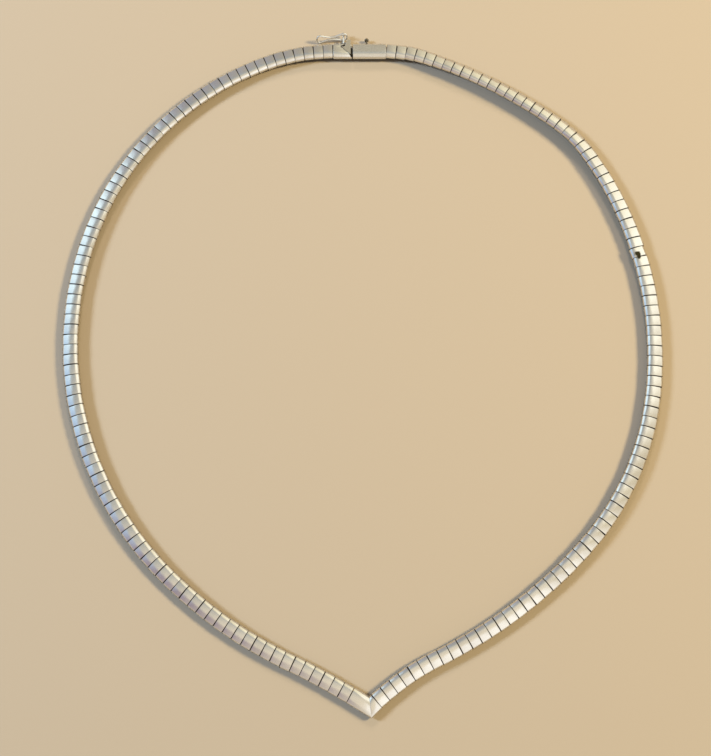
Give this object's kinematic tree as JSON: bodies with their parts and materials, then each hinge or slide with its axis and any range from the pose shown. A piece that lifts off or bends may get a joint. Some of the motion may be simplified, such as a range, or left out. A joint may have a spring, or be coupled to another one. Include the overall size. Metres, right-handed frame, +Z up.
{
  "type": "collar necklace",
  "caption": "V-front silver collar necklace of narrow domed plates, lying flat, closed by a box clasp with a swinging figure-eight safety catch.",
  "frame": {"origin": "on the surface the necklace lies on, under the middle of its box", "axes": "+Y from the front tip towards the clasp, +Z up from the surface, +X to the wearer's left as seen from above"},
  "size_m": [0.1348, 0.1568, 0.0029],
  "materials": {
    "plate_silver": "polished silver, softened by wear, with dark tarnish between the plates",
    "clasp_silver": "silver with fine lengthwise polishing scratches",
    "wire_silver": "bright polished silver wire"
  },
  "bodies": {
    "collar": {"right_plates_01": "plate_silver", "right_plates_02": "plate_silver", "right_plates_03": "plate_silver", "right_plates_04": "plate_silver", "right_plates_05": "plate_silver", "right_plates_06": "plate_silver", "right_plates_07": "plate_silver", "right_plates_08": "plate_silver", "right_plates_09": "plate_silver", "right_plates_10": "plate_silver", "right_plates_11": "plate_silver", "left_plates_01": "plate_silver", "left_plates_02": "plate_silver", "left_plates_03": "plate_silver", "left_plates_04": "plate_silver", "left_plates_05": "plate_silver", "left_plates_06": "plate_silver", "left_plates_07": "plate_silver", "left_plates_08": "plate_silver", "left_plates_09": "plate_silver", "left_plates_10": "plate_silver", "left_plates_11": "plate_silver", "front_tip": "plate_silver", "end_cap": "clasp_silver", "clasp_box": "clasp_silver", "clasp_tongue": "clasp_silver", "catch_pin": "clasp_silver", "catch_peg": "clasp_silver"},
    "safety_catch": {"figure_eight_catch": "wire_silver"}
  },
  "joints": [
    {"name": "safety_catch_swing", "type": "hinge", "parent": "collar", "child": "safety_catch", "pos_m": [-0.00441, 0.07743, 0.00123], "axis": [-0.0955, 0.9085, -0.4067], "range_deg": [0, 176]}
  ]
}
